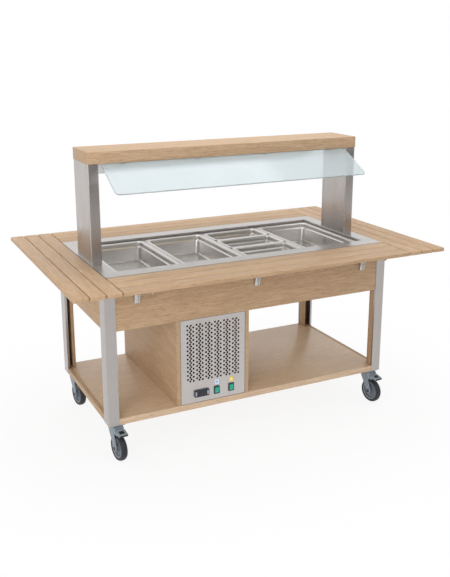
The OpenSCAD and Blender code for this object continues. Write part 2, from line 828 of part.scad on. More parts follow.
module light_housing() {
    color("white") translate([0, 0, canopy_z]) difference() {
        translate([0, 0, light_h / 2]) cube([light_l - 1, light_w - 1, light_h], center = true);
        translate([0, 0, light_h / 2 - 3]) cube([light_l - 5, light_w - 5, light_h], center = true);
    }
}

module light_lens() {
    w = light_w - 5 - play;
    color([1, 1, 0.92]) translate([0, 0, canopy_z + 1]) along_x(light_l - 5 - play)
        polygon(concat([[-w / 2, 3]], [for (a = [-50:10:50]) [w / 2 * sin(a) / sin(50), -6 * (cos(a) - cos(50))]],
                [[w / 2, 3]]));
}

// Post at the right: a folded box section with base flange and a seam
module post() {
    x0 = post_x1 - post_w;
    cx = post_x1 - post_w / 2;
    z1 = canopy_z;
    difference() {
        translate([cx, 0, top_z]) linear_extrude(z1 - top_z) rounded(post_w, post_d, 5);
        translate([cx, 0, top_z - 1]) linear_extrude(z1 - top_z + 2)
            rounded(post_w - 2 * post_t, post_d - 2 * post_t, 3);
        block([x0 - 1, post_d / 2 - 22, top_z + 3], [x0 + 0.8, post_d / 2 - 20, z1 - 3]);
    }
    difference() {
        block([x0 + post_t, -post_d / 2 + 8, top_z], [post_x1 - post_t, post_d / 2 - 8, top_z + 4]);
        for (y = [-70, 70]) translate([cx, y, top_z - 1]) cylinder(d = 9, h = 8, $fn = 32);
    }
}

// Glass panel of the front side, its top edge tucked under the canopy's edge
module glass() {
    translate([0, -glass_top_y, glass_top_z]) rotate([glass_a, 0, 0])
        translate([0, -glass_w / 2, -glass_t]) linear_extrude(glass_t) difference() {
            square([glass_l, glass_w], center = true);
            for (s = [-1, 1]) translate([s * glass_l / 2, -glass_w / 2]) corner_waste(22, s);
        }
}

// What a round corner of radius r takes off a square corner
module corner_waste(r, s) {
    polygon(concat([[s, -1], [-s * r, -1]],
        [for (a = [0:15:90]) [-s * r + s * r * sin(a), r - r * cos(a)]], [[s, r]]));
}

module glass_clamp() {
    difference() {
        along_x(clamp_w) polygon([[glass_top_y - 26, canopy_z], [glass_top_y - 1, canopy_z],
            [glass_top_y - 1, canopy_z - 3], [glass_top_y + 10, canopy_z - 9], [glass_top_y + 8, canopy_z - 15],
            [glass_top_y - 6, canopy_z - 9.5], [glass_top_y - 12, canopy_z - 4], [glass_top_y - 26, canopy_z - 4]]);
        glass();
    }
}

module glass_clamps() {
    color(STEEL) for (t = [0, 180], x = [-clamp_x, -clamp_x / 3, clamp_x / 3, clamp_x])
        rotate([0, 0, t]) translate([x, 0, 0]) glass_clamp();
}

// ---- casters ----

module at_caster(sx, sy) {
    translate([sx * caster_x, sy * caster_y, 0]) rotate([0, 0, caster_turn]) children();
}

module caster_plates() {
    color(DARK_STEEL) for (sx = [-1, 1], sy = [-1, 1])
        translate([sx * caster_x, sy * caster_y, 0]) union() {
            translate([0, 0, caster_h - plate_t / 2]) cube([plate_l, plate_d, plate_t], center = true);
            translate([0, 0, fork_top - 24]) cylinder(d = king_d, h = 24 + play + eps, $fn = 48);
            translate([0, 0, fork_top - 28]) cylinder(d = king_d + 10, h = 4, $fn = 6);
        }
}

// Side outline of a fork, drawn in [towards the axle, up]
module fork_side() {
    t = fork_top;
    r = wheel_r;
    polygon([[-27, t], [28, t], [46, t - 11], [50, t - 28], [trail - 6, t - 48],
             [trail + 14, r + 6], [trail + 13, r - 8], [trail + 5, r - 15], [trail - 6, r - 15],
             [trail - 14, r - 7], [trail - 16, r + 6], [-10, t - 54], [-27, t - 26]]);
}

module fork() {
    half = fork_gap + fork_t;
    t = fork_top;
    color(GREY) difference() {
        union() {
            for (s = [-1, 1]) translate([s * (fork_gap + fork_t / 2), 0, 0]) along_x(fork_t) fork_side();
            along_x(2 * half) polygon([[-27, t - 8], [-27, t], [28, t], [30, t - 8]]);
            along_x(2 * half) polygon([[-27, t - 4], [-27, t - 26], [-10, t - 54], [-6, t - 51], [-22, t - 25], [-22, t - 4]]);
            translate([0, 0, t - 22]) cylinder(d = 30, h = 20, $fn = 64);
            translate([0, -trail, wheel_r]) rotate([0, 90, 0]) {
                cylinder(d = axle_d, h = 2 * half + 2, center = true, $fn = 48);
                for (s = [-1, 1]) translate([0, 0, s * (half + 1.5)]) cylinder(d = 20, h = 3, center = true, $fn = 48);
            }
            translate([0, -pedal_pivot[0], pedal_pivot[1]]) rotate([0, 90, 0])
                cylinder(d = pedal_pin_d, h = 2 * half - 2, center = true, $fn = 32);
        }
        translate([0, 0, t - 40]) cylinder(d = king_d + 2 * run_fit, h = 60, $fn = 48);
    }
}

module wheel() {
    r = wheel_r;
    w = wheel_w / 2;
    rim = r - 15;
    translate([0, -trail, r]) rotate([0, 90, 0]) {
        color(BLACK) rotate_extrude($fn = 120) polygon([[rim, -w + 2], [r - 5, -w], [r - 1, -w + 6],
            [r, -w + 11], [r, w - 11], [r - 1, w - 6], [r - 5, w], [rim, w - 2]]);
        color(GREY) rotate_extrude($fn = 120) polygon([[axle_d / 2 + run_fit, -w], [16, -w], [18, -8],
            [rim - 8, -6], [rim - 5, -w + 3], [rim, -w + 2], [rim, w - 2], [rim - 5, w - 3],
            [rim - 8, 6], [18, 8], [16, w], [axle_d / 2 + run_fit, w]]);
    }
}

// Brake pedal: a lever between the fork's sides, its shoe above the tyre
module pedal() {
    px = pedal_pivot[0];
    pz = pedal_pivot[1];
    w = 2 * fork_gap - 1.2;
    color(GREY) difference() {
        union() {
            along_x(w) polygon([[px - 4, pz + 6], [px + 8, pz + 7], [px + 50, pz - 5], [px + 56, pz - 9],
                [px + 55, pz - 14], [px + 44, pz - 11], [px + 16, pz - 6],
                [px + 14, pz - shoe], [px + 2, pz - shoe], [px - 4, pz - 5]]);
            // the tread, as wide as the fork
            along_x(2 * (fork_gap + fork_t)) polygon([[px + 18, pz + 4.1], [px + 50, pz - 5],
                [px + 56, pz - 9], [px + 55, pz - 14], [px + 44, pz - 11], [px + 18, pz - 6.3]]);
            translate([0, -px, pz]) rotate([0, 90, 0]) cylinder(r = 6, h = w, center = true, $fn = 48);
        }
        translate([0, -px, pz]) rotate([0, 90, 0])
            cylinder(d = pedal_pin_d + 2 * run_fit, h = w + 2, center = true, $fn = 32);
    }
}

// ---- the assembly ----

stainless_top();
well_tank();
tank_insulation();
divider_bars();
full_pan(0);  // pan_left
full_pan(1);  // pan_centre
full_pan(3);  // pan_right
third_pan(-1);  // pan_third_front
third_pan(0);  // pan_third_middle
third_pan(1);  // pan_third_rear
top_frame();
aprons();
legs();
leg_cores();
shelf();
compartment_sides();
grille_panel();
rear_vent_panel();
unit_tray();
compressor();
condenser();
fan_shroud();
fan_motor();
condenser_fan();
pipework();
cable_gland();
control_frames();
key(-1);  // key_left
key(1);  // key_right
rocker(rocker_x[0]);  // rocker_cooling
rocker(rocker_x[1]);  // rocker_light
symbol_tiles();
canopy();
light_housing();
light_lens();
color(STEEL) mirror([1, 0, 0]) post();  // post_left
color(STEEL) post();  // post_right
color(GLASS) glass();  // glass_front
color(GLASS) rotate([0, 0, 180]) glass();  // glass_rear
glass_clamps();
on_side(0, apron_y) slats(long_len, long_inner, flap_long_w);  // flap_front
on_side(180, apron_y) slats(long_len, long_inner, flap_long_w);  // flap_rear
on_side(-90, apron_x) slats(end_len, end_inner, flap_end_w);  // flap_left
on_side(90, apron_x) slats(end_len, end_inner, flap_end_w);  // flap_right
on_side(0, apron_y) arms(long_arms, long_inner, flap_long_w);  // arms_front
on_side(180, apron_y) arms(long_arms, long_inner, flap_long_w);  // arms_rear
on_side(-90, apron_x) arms(end_arms, end_inner, flap_end_w);  // arms_left
on_side(90, apron_x) arms(end_arms, end_inner, flap_end_w);  // arms_right
flap_brackets();
caster_plates();
at_caster(-1, -1) fork();  // fork_front_left
at_caster(1, -1) fork();  // fork_front_right
at_caster(-1, 1) fork();  // fork_rear_left
at_caster(1, 1) fork();  // fork_rear_right
at_caster(-1, -1) wheel();  // wheel_front_left
at_caster(1, -1) wheel();  // wheel_front_right
at_caster(-1, 1) wheel();  // wheel_rear_left
at_caster(1, 1) wheel();  // wheel_rear_right
at_caster(-1, -1) pedal();  // pedal_front_left
at_caster(1, -1) pedal();  // pedal_front_right
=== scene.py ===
# %% [markdown]
# # A mobile salad bar in oak and brushed steel
# The trolley arrives as a finished engineering model, in metres, with every solid where it belongs.
# Blender's job is to dress it: give each board its grain and its eased edges, each steel sheet its
# brushing, and add the small fittings that engineering models leave out. Nothing is moved, so every hinge
# and wheel still works.

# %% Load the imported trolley
import math

import bmesh
import bpy
from mathutils import Matrix, Vector


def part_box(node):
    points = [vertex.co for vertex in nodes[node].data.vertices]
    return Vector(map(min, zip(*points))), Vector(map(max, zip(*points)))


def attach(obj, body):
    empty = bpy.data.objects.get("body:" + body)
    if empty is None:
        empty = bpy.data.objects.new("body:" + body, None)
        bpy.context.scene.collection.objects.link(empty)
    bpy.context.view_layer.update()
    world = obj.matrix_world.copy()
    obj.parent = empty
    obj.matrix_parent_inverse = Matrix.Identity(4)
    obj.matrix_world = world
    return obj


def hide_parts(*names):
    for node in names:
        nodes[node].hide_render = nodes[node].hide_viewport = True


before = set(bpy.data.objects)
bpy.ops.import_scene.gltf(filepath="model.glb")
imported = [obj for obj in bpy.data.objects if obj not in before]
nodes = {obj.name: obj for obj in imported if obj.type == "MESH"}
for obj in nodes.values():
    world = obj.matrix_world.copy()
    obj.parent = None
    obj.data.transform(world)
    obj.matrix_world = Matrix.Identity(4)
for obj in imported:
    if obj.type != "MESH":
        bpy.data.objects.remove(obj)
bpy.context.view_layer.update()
scene = bpy.context.scene

# %% [markdown]
# ## Camera
# The photograph was taken from 1.9 metres up, in front of the left end. The camera's place was worked out
# from measured edges of the worktop, legs and wheels, so it is written here as plain numbers: where it
# stands, which way it looks, and how long its lens is. A small vertical shift repeats how the picture was
# cut.

# %% Set up the camera
PHOTO_HEIGHT_PX = 577
CAMERA_AT = Vector((-1.7514, -3.5790, 1.8732))
CAMERA_YAW, CAMERA_PITCH = 0.4592, -0.2552
FOCAL_PX, HORIZON_SHIFT_PX = 791.41, -36.46

ahead = Vector((math.sin(CAMERA_YAW) * math.cos(CAMERA_PITCH),
                math.cos(CAMERA_YAW) * math.cos(CAMERA_PITCH), math.sin(CAMERA_PITCH)))
right = Vector((math.cos(CAMERA_YAW), -math.sin(CAMERA_YAW), 0))
turn = Matrix((right, right.cross(ahead), -ahead)).transposed()

lens = bpy.data.cameras.new("photo_lens")
lens.sensor_width = 36
lens.lens = FOCAL_PX * lens.sensor_width / PHOTO_HEIGHT_PX
lens.shift_y = HORIZON_SHIFT_PX / PHOTO_HEIGHT_PX
camera = bpy.data.objects.new("photo_camera", lens)
camera.matrix_world = Matrix.Translation(CAMERA_AT) @ turn.to_4x4()
scene.collection.objects.link(camera)
scene.camera = camera
scene.view_settings.view_transform = "Standard"
print("lens", round(lens.lens, 2), "mm")

# %% [markdown]
# ## A few helpers for finishes
# Every finish below is a small network of nodes. These helpers keep the recipes short: one turns eight-bit
# screen colours into the linear values that light needs, one adds a node with its values, and the others
# make the steps that nearly every finish shares.

# %% Helpers that build a material
def paint(red, green, blue):
    """An 8-bit screen colour as the linear colour a shader wants."""
    def linear(v):
        v /= 255
        return v / 12.92 if v <= 0.04045 else ((v + 0.055) / 1.055) ** 2.4
    return (linear(red), linear(green), linear(blue), 1)


def grey(value):
    return (value, value, value, 1)


def start_finish(name, **sockets):
    """A new material with one principled shader, whose plain values are set on its sockets."""
    finish = bpy.data.materials.new(name)
    finish.use_nodes = True
    shader = finish.node_tree.nodes["Principled BSDF"]
    for socket, value in sockets.items():
        shader.inputs[socket.replace("_", " ")].default_value = value
    return finish, finish.node_tree, shader


def add(tree, kind, *links, **values):
    """Adds a node. Links are (input, output) pairs; values go to inputs or, failing that, to settings."""
    node = tree.nodes.new("ShaderNode" + kind)
    for key, value in values.items():
        if hasattr(node, key):
            setattr(node, key, value)
        else:
            node.inputs[key.replace("_", " ")].default_value = value
    for socket, output in links:
        tree.links.new(output, node.inputs[socket])
    return node


def stretched(tree, scale):
    """Object coordinates, scaled apart along each axis."""
    spot = add(tree, "TexCoord").outputs["Object"]
    return add(tree, "Mapping", ("Vector", spot), Scale=scale).outputs["Vector"]


def ramp(tree, value, *stops):
    """A colour band: (position, colour) stops read at value."""
    node = add(tree, "ValToRGB", ("Fac", value))
    band = node.color_ramp
    while len(band.elements) < len(stops):
        band.elements.new(0.5)
    for element, (position, colour) in zip(band.elements, stops):
        element.position = position
        element.color = colour
    return node.outputs["Color"]


def two_tones(tree, value, first, second):
    """A drift between two screen colours, over the middle part of a noise."""
    return ramp(tree, value, (0.3, paint(*first)), (0.7, paint(*second)))


print("helpers that start a finish are ready")

# %% Helpers that mix, calculate and connect
def mixed(tree, factor, first, second, mode="MIX"):
    """Two colours mixed by a factor, each a socket or a plain value."""
    node = tree.nodes.new("ShaderNodeMix")
    node.data_type = "RGBA"
    node.blend_type = mode
    for index, value in ((0, factor), (6, first), (7, second)):
        if isinstance(value, bpy.types.NodeSocket):
            tree.links.new(value, node.inputs[index])
        else:
            node.inputs[index].default_value = value
    return node.outputs[2]


def level(tree, value, low, high, from_low=0.0, from_high=1.0):
    """A value moved from one range to another, held at its ends."""
    node = add(tree, "MapRange", ("Value", value))
    for index, number in ((1, from_low), (2, from_high), (3, low), (4, high)):
        node.inputs[index].default_value = number
    return node.outputs["Result"]


def noise(tree, vector, scale, detail=3.0, roughness=0.55):
    node = add(tree, "TexNoise", ("Vector", vector), Scale=scale, Detail=detail, Roughness=roughness)
    return node.outputs["Fac"]


def maths(tree, operation, first, second):
    """One calculation on a socket and a second value, which is a socket or a plain number."""
    node = add(tree, "Math", (0, first), operation=operation)
    if isinstance(second, bpy.types.NodeSocket):
        tree.links.new(second, node.inputs[1])
    else:
        node.inputs[1].default_value = second
    return node.outputs[0]


def along_axis(axis, long_value, cross_value):
    """A scale of long_value along one axis and cross_value on the other two."""
    return tuple(long_value if name == axis else cross_value for name in "xyz")


def wire(tree, shader, colour, roughness=None):
    """Connects a colour, and a roughness where there is one, to the shader."""
    tree.links.new(colour, shader.inputs["Base Color"])
    if roughness:
        tree.links.new(roughness, shader.inputs["Roughness"])


def relief(tree, shader, height, strength, depth):
    """Bump from a height socket, depth in metres."""
    bump = add(tree, "Bump", ("Height", height), Strength=strength, Distance=depth)
    tree.links.new(bump.outputs["Normal"], shader.inputs["Normal"])


print("helpers that mix and connect are ready")

# %% [markdown]
# ## Oak
# The boards are pale lacquered oak. Real oak shows three things at once: broad cathedral bands where the
# saw crosses the growth rings, fine straight fibres, and short dark pores. Stretching noise a lot along the
# grain and little across it gives all three at their own size. Each board carries a number of its own in a
# `board` attribute, which slides the pattern, so no two neighbours match, as in a real glued-up top.

# %% The oak finish
BANDS, FIBRES, PORES = (0.55, 7.0), (14.0, 240.0), (38.0, 480.0)  # noise scale along and across the grain
BAND_LINES = 9.0
BOARD_SLIDE = (3.1, 5.7, 2.3)
PORE_DARKNESS, BOARD_DARKEST = 0.66, (0.90, 0.89, 0.88, 1)


def oak(name, axis, light=(213, 184, 152), dark=(173, 140, 106), lacquer=0.05):
    """Oak with its grain along one axis."""
    finish, tree, shader = start_finish(name, Coat_Weight=lacquer, Coat_Roughness=0.28,
                                        Specular_IOR_Level=0.22)
    board = add(tree, "Attribute", attribute_name="board").outputs["Fac"]
    shift = add(tree, "VectorMath", ("Scale", board), operation="SCALE")
    shift.inputs[0].default_value = BOARD_SLIDE
    spot = add(tree, "TexCoord").outputs["Object"]
    slid = add(tree, "VectorMath", (0, spot), (1, shift.outputs[0]), operation="ADD").outputs[0]

    def grain(sizes, scale, *settings):
        """Noise along this board's grain."""
        drawn = add(tree, "Mapping", ("Vector", slid), Scale=along_axis(axis, *sizes)).outputs["Vector"]
        return noise(tree, drawn, scale, *settings)

    ripple = maths(tree, "PINGPONG", maths(tree, "MULTIPLY", grain(BANDS, 1.6, 5.0, 0.6), BAND_LINES), 0.5)
    bands = ramp(tree, level(tree, ripple, 0.0, 1.0, 0.0, 0.5), (0.0, grey(0.36)), (1.0, grey(0.74)))
    fibre = grain(FIBRES, 1.0, 3.0)
    pores = level(tree, grain(PORES, 1.0, 2.0), 0.0, 1.0, 0.58, 0.70)
    tone = mixed(tree, 0.5, bands, ramp(tree, fibre, (0.25, grey(0)), (0.75, grey(1))))
    middle = [(a + b) / 2 for a, b in zip(light, dark)]
    wood = ramp(tree, tone, (0.1, paint(*dark)), (0.55, paint(*middle)), (0.9, paint(*light)))
    wood = mixed(tree, level(tree, pores, 0.0, 0.5), wood, paint(*[v * PORE_DARKNESS for v in dark]))
    own = add(tree, "TexWhiteNoise", ("W", board), noise_dimensions="1D").outputs["Value"]
    own_shade = ramp(tree, own, (0.0, BOARD_DARKEST), (1.0, grey(1)))
    wire(tree, shader, mixed(tree, 1.0, wood, own_shade, "MULTIPLY"), level(tree, fibre, 0.45, 0.60))
    relief(tree, shader, mixed(tree, 0.5, fibre, pores), 0.25, 0.0004)
    return finish


oak_x, oak_y, oak_z = (oak(f"oak_grain_{axis}", axis) for axis in "xyz")
# The shelf's oak is painted paler than the other boards: painted light, for the light the worktop keeps off
# the shelf. Its heavier lacquer is its own gloss.
oak_shelf_painted_light = oak("oak_shelf_painted_light", "x", light=(236, 209, 179), dark=(202, 171, 138), lacquer=0.6)
print("oak along x, y and z")

# %% [markdown]
# ## Brushed stainless steel
# Stainless sheet is sanded in one direction at the mill, so it blurs what it mirrors across the brushing
# and keeps it sharp along it. Long thin noise in both the roughness and the bump gives that streaked sheen,
# and a slow noise in the roughness stands for the wipe marks and finger grease of daily use. A wide noise
# stretched along the brushing drifts the colour a little lighter and darker: partly the brushing's own
# tone, partly a painted reflection of satin sheen.

# %% The steel finishes
def brushed(name, axis, colour, rough=(0.24, 0.38), streak_and_sheen=0.06):
    """Steel brushed along one axis."""
    finish, tree, shader = start_finish(name, Metallic=1.0)
    streaks = noise(tree, stretched(tree, along_axis(axis, 3.0, 900.0)), 1.0, 4.0, 0.6)
    # Wide bands along the brushing; in the colour they are partly the steel's own tone, partly painted
    # reflection
    wide = noise(tree, stretched(tree, along_axis(axis, 0.8, 14.0)), 1.0, 2.0)
    smears = noise(tree, stretched(tree, (9, 9, 9)), 1.0, 3.0)
    low = [v * (1 - streak_and_sheen) for v in colour]
    steel = two_tones(tree, mixed(tree, 0.4, streaks, wide), low, colour)
    grease = mixed(tree, 0.5, streaks, smears)
    wire(tree, shader, steel, level(tree, grease, *rough, 0.35, 0.65))
    relief(tree, shader, streaks, 0.08, 0.0002)
    return finish


# The same stainless steel gets its own base tone on each part, darkest on the uprights and palest in the
# pans: painted reflection, set to how bright each part looks from what it mirrors.
steel_z = brushed("steel_upright", "z", (188, 182, 179))
steel_x = brushed("steel_worktop", "x", (198, 194, 191))
steel_panel = brushed("steel_panel", "z", (206, 201, 198), rough=(0.34, 0.46))
steel_pan = brushed("steel_pan", "x", (216, 213, 210), rough=(0.26, 0.36))
steel_part = brushed("steel_fitting", "x", (208, 206, 204), rough=(0.22, 0.32))
zinc = brushed("zinc_sheet", "x", (176, 179, 181), rough=(0.38, 0.52), streak_and_sheen=0.12)
frame_steel = brushed("frame_tube", "x", (110, 110, 112), rough=(0.4, 0.5))
print("steel: uprights, worktop, panel, pans, fittings, zinc")

# %% [markdown]
# ## Plastics, foam, copper and paint
# Moulded parts have a fine spark-eroded texture that softens their highlights; a small even noise in the
# bump does it. Foam has open cells, which a Voronoi pattern draws. These parts are small or hidden, but
# anyone who opens the trolley will see them.

# %% Moulded, painted and coated finishes
def moulded(name, colour, grain=0.0006, rough=(0.42, 0.55), wear=0.08, bump=0.15, cells=False, **sockets):
    """A coloured solid with a fine texture of the given size in metres."""
    finish, tree, shader = start_finish(name, **sockets)
    spot = stretched(tree, (1, 1, 1))
    if cells:
        texture = add(tree, "TexVoronoi", ("Vector", spot), Scale=1 / grain).outputs["Distance"]
    else:
        texture = noise(tree, spot, 1 / grain, 2.0)
    cloud = noise(tree, spot, 22.0, 4.0, 0.6)
    darker = [v * (1 - wear) for v in colour]
    paler = [min(255, v * (1 + wear)) for v in colour]
    tones = two_tones(tree, mixed(tree, 0.35, cloud, texture), darker, paler)
    wire(tree, shader, tones, level(tree, cloud, *rough, 0.3, 0.7))
    relief(tree, shader, texture, bump, grain * 0.5)
    return finish


caster_grey = moulded("caster_grey", (136, 146, 156), rough=(0.35, 0.48))
dark_plastic = moulded("dark_plastic", (32, 34, 38), wear=0.15)
bezel_navy = moulded("bezel_navy", (30, 42, 58), rough=(0.3, 0.42), wear=0.12)
key_plastic = moulded("key_plastic", (176, 186, 198), rough=(0.35, 0.5))
compressor_enamel = moulded("compressor_enamel", (24, 24, 27), grain=0.003, rough=(0.25, 0.4), wear=0.2)
fin_black = moulded("fin_black", (46, 46, 48), grain=0.001, rough=(0.5, 0.65), wear=0.2)
foam = moulded("foam_cells", (232, 224, 196), grain=0.004, rough=(0.8, 0.95), bump=0.4, cells=True)
white_enamel = moulded("white_enamel", (232, 231, 226), grain=0.002, rough=(0.3, 0.42), wear=0.03)
copper = moulded("drawn_copper", (196, 132, 98), grain=0.003, rough=(0.25, 0.45), wear=0.15, Metallic=1.0)
symbol_white = moulded("symbol_white", (240, 244, 248), rough=(0.3, 0.4), wear=0.02)
symbol_blue = moulded("symbol_blue", (96, 150, 226), rough=(0.3, 0.4), wear=0.05)
print("plastics, foam, copper and enamel")

# %% [markdown]
# ## Glass, lens, window and switch caps
# The breath guard looks milky in the photograph: it lets about two thirds of the light through and scatters
# the rest, which lifts what lies behind it towards a pale cool white. The lamp's cover is frosted and
# glows. The switch caps are tinted plastic with a lamp inside, so they give a little light of their own.

# %% Milky and glowing finishes
glass, tree, shader = start_finish("clear_glass", Transmission_Weight=0.64, IOR=1.45, Specular_IOR_Level=0.2)
film = noise(tree, stretched(tree, (4, 4, 4)), 1.0, 4.0)
wire(tree, shader, two_tones(tree, film, (216, 226, 229), (221, 230, 233)),
     level(tree, film, 0.06, 0.09, 0.3, 0.7))

lamp_lens, tree, shader = start_finish("lamp_lens", Emission_Strength=1.2)
frost = noise(tree, stretched(tree, (300, 300, 300)), 1.0, 2.0)
wire(tree, shader, two_tones(tree, frost, (250, 244, 224), (255, 251, 238)))
shader.inputs["Emission Color"].default_value = paint(255, 238, 200)
relief(tree, shader, frost, 0.2, 0.0004)


def lit_plastic(name, colour, glow):
    """Ribbed, shiny plastic with some light behind it."""
    finish, tree, shader = start_finish(name, Emission_Strength=glow, Coat_Weight=0.3, Coat_Roughness=0.1)
    ribs = noise(tree, stretched(tree, (120, 120, 900)), 1.0, 2.0)
    tone = two_tones(tree, ribs, [v * 0.8 for v in colour], colour)
    wire(tree, shader, tone, level(tree, ribs, 0.18, 0.32))
    tree.links.new(tone, shader.inputs["Emission Color"])
    return finish


switch_green = lit_plastic("switch_green", (8, 146, 118), 0.55)
switch_mark = moulded("switch_mark", (120, 206, 184), rough=(0.3, 0.4), wear=0.03)
window_dark = lit_plastic("window_dark", (14, 14, 20), 0.0)

TILES_MEET_X, TILE_EDGE = -0.1725, 0.001
tiles, tree, shader = start_finish("symbol_tiles", Coat_Weight=0.3, Coat_Roughness=0.12)
side = add(tree, "SeparateXYZ", ("Vector", stretched(tree, (1, 1, 1)))).outputs["X"]
speck = noise(tree, stretched(tree, (400, 400, 400)), 1.0, 2.0)
cool = two_tones(tree, speck, (214, 232, 252), (226, 240, 255))
warm = two_tones(tree, speck, (246, 210, 20), (255, 224, 40))
on_right = level(tree, side, 0, 1, TILES_MEET_X - TILE_EDGE, TILES_MEET_X + TILE_EDGE)
wire(tree, shader, mixed(tree, on_right, cool, warm), level(tree, speck, 0.2, 0.35))
print("glass, lamp lens, switch caps and tiles")

# %% [markdown]
# ## Putting a finish on a part
# A part whose shape is right keeps its mesh and only gets the finish. A part that needs eased edges gets a
# copy: the loose triangles are merged, flat regions become single faces, and the sharp edges are bevelled.
# The copy then stands for the part and rides on the same body.

# %% Helpers that dress or copy a part
def dress(finish, *names):
    """Puts one finish on every slot of these parts."""
    for name in names:
        slots = nodes[name].data.materials
        for i in range(len(slots)):
            slots[i] = finish


def merged(name):
    """A part's mesh as one bmesh, its doubled points merged and flat regions joined."""
    bm = bmesh.new()
    bm.from_mesh(nodes[name].data)
    bmesh.ops.remove_doubles(bm, verts=bm.verts, dist=2e-6)
    bmesh.ops.dissolve_limit(bm, angle_limit=math.radians(0.8), verts=bm.verts, edges=bm.edges)
    return bm


def ease(bm, edges, width, segments=2):
    """Rounds these edges."""
    bmesh.ops.bevel(bm, geom=edges, offset=width, offset_type="OFFSET", affect="EDGES", segments=segments,
                    profile=0.5, material=-1, clamp_overlap=True)


def edges_of(verts):
    """The edges that meet these points, each once and always in the same order."""
    return list(dict.fromkeys(e for v in verts for e in v.link_edges))


def sharp_edges(bm, degrees):
    """The edges that fold by more than this."""
    return [e for e in bm.edges if len(e.link_faces) == 2 and e.calc_face_angle(0) > math.radians(degrees)]


def shade(bm, degrees=32):
    """Smooth shading, with edges that fold by more than this kept crisp."""
    for face in bm.faces:
        face.smooth = True
    for edge in bm.edges:
        edge.smooth = len(edge.link_faces) == 2 and edge.calc_face_angle(0) < math.radians(degrees)


def place(name, bm, finish, body, slot, *stands_for):
    """Turns a bmesh into a piece of the trolley."""
    bmesh.ops.recalc_face_normals(bm, faces=bm.faces)
    shade(bm)
    mesh = bpy.data.meshes.new(name)
    bm.to_mesh(mesh)
    bm.free()
    mesh.materials.append(finish)
    piece = bpy.data.objects.new(name, mesh)
    scene.collection.objects.link(piece)
    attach(piece, body)
    if stands_for:
        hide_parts(*stands_for)
    print(name, len(mesh.polygons), "faces on", body)
    return piece


def block(bm, low, high):
    """A box between two corners, added to a bmesh; returns its points."""
    middle = (Vector(low) + Vector(high)) / 2
    size = Vector(high) - Vector(low)
    where = Matrix.Translation(middle) @ Matrix.Diagonal(size).to_4x4()
    return bmesh.ops.create_cube(bm, size=1, matrix=where)["verts"]


def solid_boxes(name):
    """The box of each separate solid in a part."""
    bm = merged(name)
    unseen, boxes = set(bm.verts), []
    while unseen:
        group, waiting = set(), [unseen.pop()]
        while waiting:
            vert = waiting.pop()
            group.add(vert)
            for link in vert.link_edges:
                other = link.other_vert(vert)
                if other in unseen:
                    unseen.discard(other)
                    waiting.append(other)
        low = Vector(min(v.co[i] for v in group) for i in range(3))
        high = Vector(max(v.co[i] for v in group) for i in range(3))
        boxes.append((low, high))
    bm.free()
    return sorted(boxes, key=lambda b: tuple(round(c, 4) for c in b[0]))


print("slats of the front flap:", len(solid_boxes("flap_front")))

# %% [markdown]
# ## Boards
# All the timber is planed board with its arrises taken off, and the slats of the flaps also have rounded
# corners where a hand or a hip would meet them. A cube with its four upright corners bevelled wide and
# everything else bevelled narrow is exactly that. Rounding the copies, and not the engineering model, keeps
# the drawing simple.

# %% Slats, aprons, leg cores, compartment sides
def boards(name, boxes, finish, body, corner, arris, number, *stands_for):
    """One piece made of boards with rounded corners and eased edges, numbered on from the given number."""
    bm = bmesh.new()
    layer = bm.verts.layers.float.new("board")
    for low, high in boxes:
        known = set(bm.verts)
        block(bm, low, high)
        thin = min(range(3), key=lambda i: high[i] - low[i])
        own = [v for v in bm.verts if v not in known]
        upright = [e for e in edges_of(own) if abs((e.verts[0].co - e.verts[1].co)[thin]) > 1e-4]
        if corner:
            ease(bm, upright, corner, 5)
        own = {v for v in bm.verts if v not in known}
        edges = [e for e in sharp_edges(bm, 50) if e.verts[0] in own]
        ease(bm, edges, arris, 2)
        for vert in bm.verts:
            if vert not in known:
                vert[layer] = number
        number += 1
    return place(name, bm, finish, body, "oak", *stands_for)


SLAT_CORNER, SLAT_ARRIS, BOARD_ARRIS = 0.009, 0.0035, 0.0012
FLAPS, SLATS_EACH = (("front", oak_x), ("rear", oak_x), ("left", oak_y), ("right", oak_y)), 3
for count, (side_name, finish) in enumerate(FLAPS):
    flap = f"flap_{side_name}"
    boards(f"slats_{side_name}", solid_boxes(flap), finish, flap, SLAT_CORNER, SLAT_ARRIS,
           1 + SLATS_EACH * count, flap)

apron_boxes = solid_boxes("aprons")
long_boards = [b for b in apron_boxes if b[1].x - b[0].x > b[1].y - b[0].y]
end_boards = [b for b in apron_boxes if b not in long_boards]
boards("apron_boards_long", long_boards, oak_x, "trolley", 0, BOARD_ARRIS, 20, "aprons")
boards("apron_boards_end", end_boards, oak_y, "trolley", 0, BOARD_ARRIS, 23)
boards("leg_core_boards", solid_boxes("leg_cores"), oak_z, "trolley", 0, BOARD_ARRIS, 26, "leg_cores")
boards("compartment_boards", solid_boxes("compartment_sides"), oak_y, "trolley", 0, BOARD_ARRIS, 31,
       "compartment_sides")

# %% [markdown]
# ## Shelf
# The shelf is veneered board. Each end is closed with a solid oak lath that runs across, which leaves a
# fine line a thumb's width inside the end. Three boards laid edge to edge show it without any drawn line.

# %% The shelf and its two laths
LATH, SHELF_ARRIS, LATH_ARRIS = 0.020, 0.0006, 0.0010
low, high = (Vector(c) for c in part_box("shelf"))
inner_low, inner_high = Vector((low.x + LATH, low.y, low.z)), Vector((high.x - LATH, high.y, high.z))
# The veneered board takes the paler shelf oak, which is painted light.
boards("shelf_board", [(inner_low, inner_high)], oak_shelf_painted_light, "trolley", 0, SHELF_ARRIS, 41, "shelf")
lath_boxes = [(low, Vector((low.x + LATH, high.y, high.z))), (Vector((high.x - LATH, low.y, low.z)), high)]
boards("shelf_laths", lath_boxes, oak_y, "trolley", 0, LATH_ARRIS, 43)

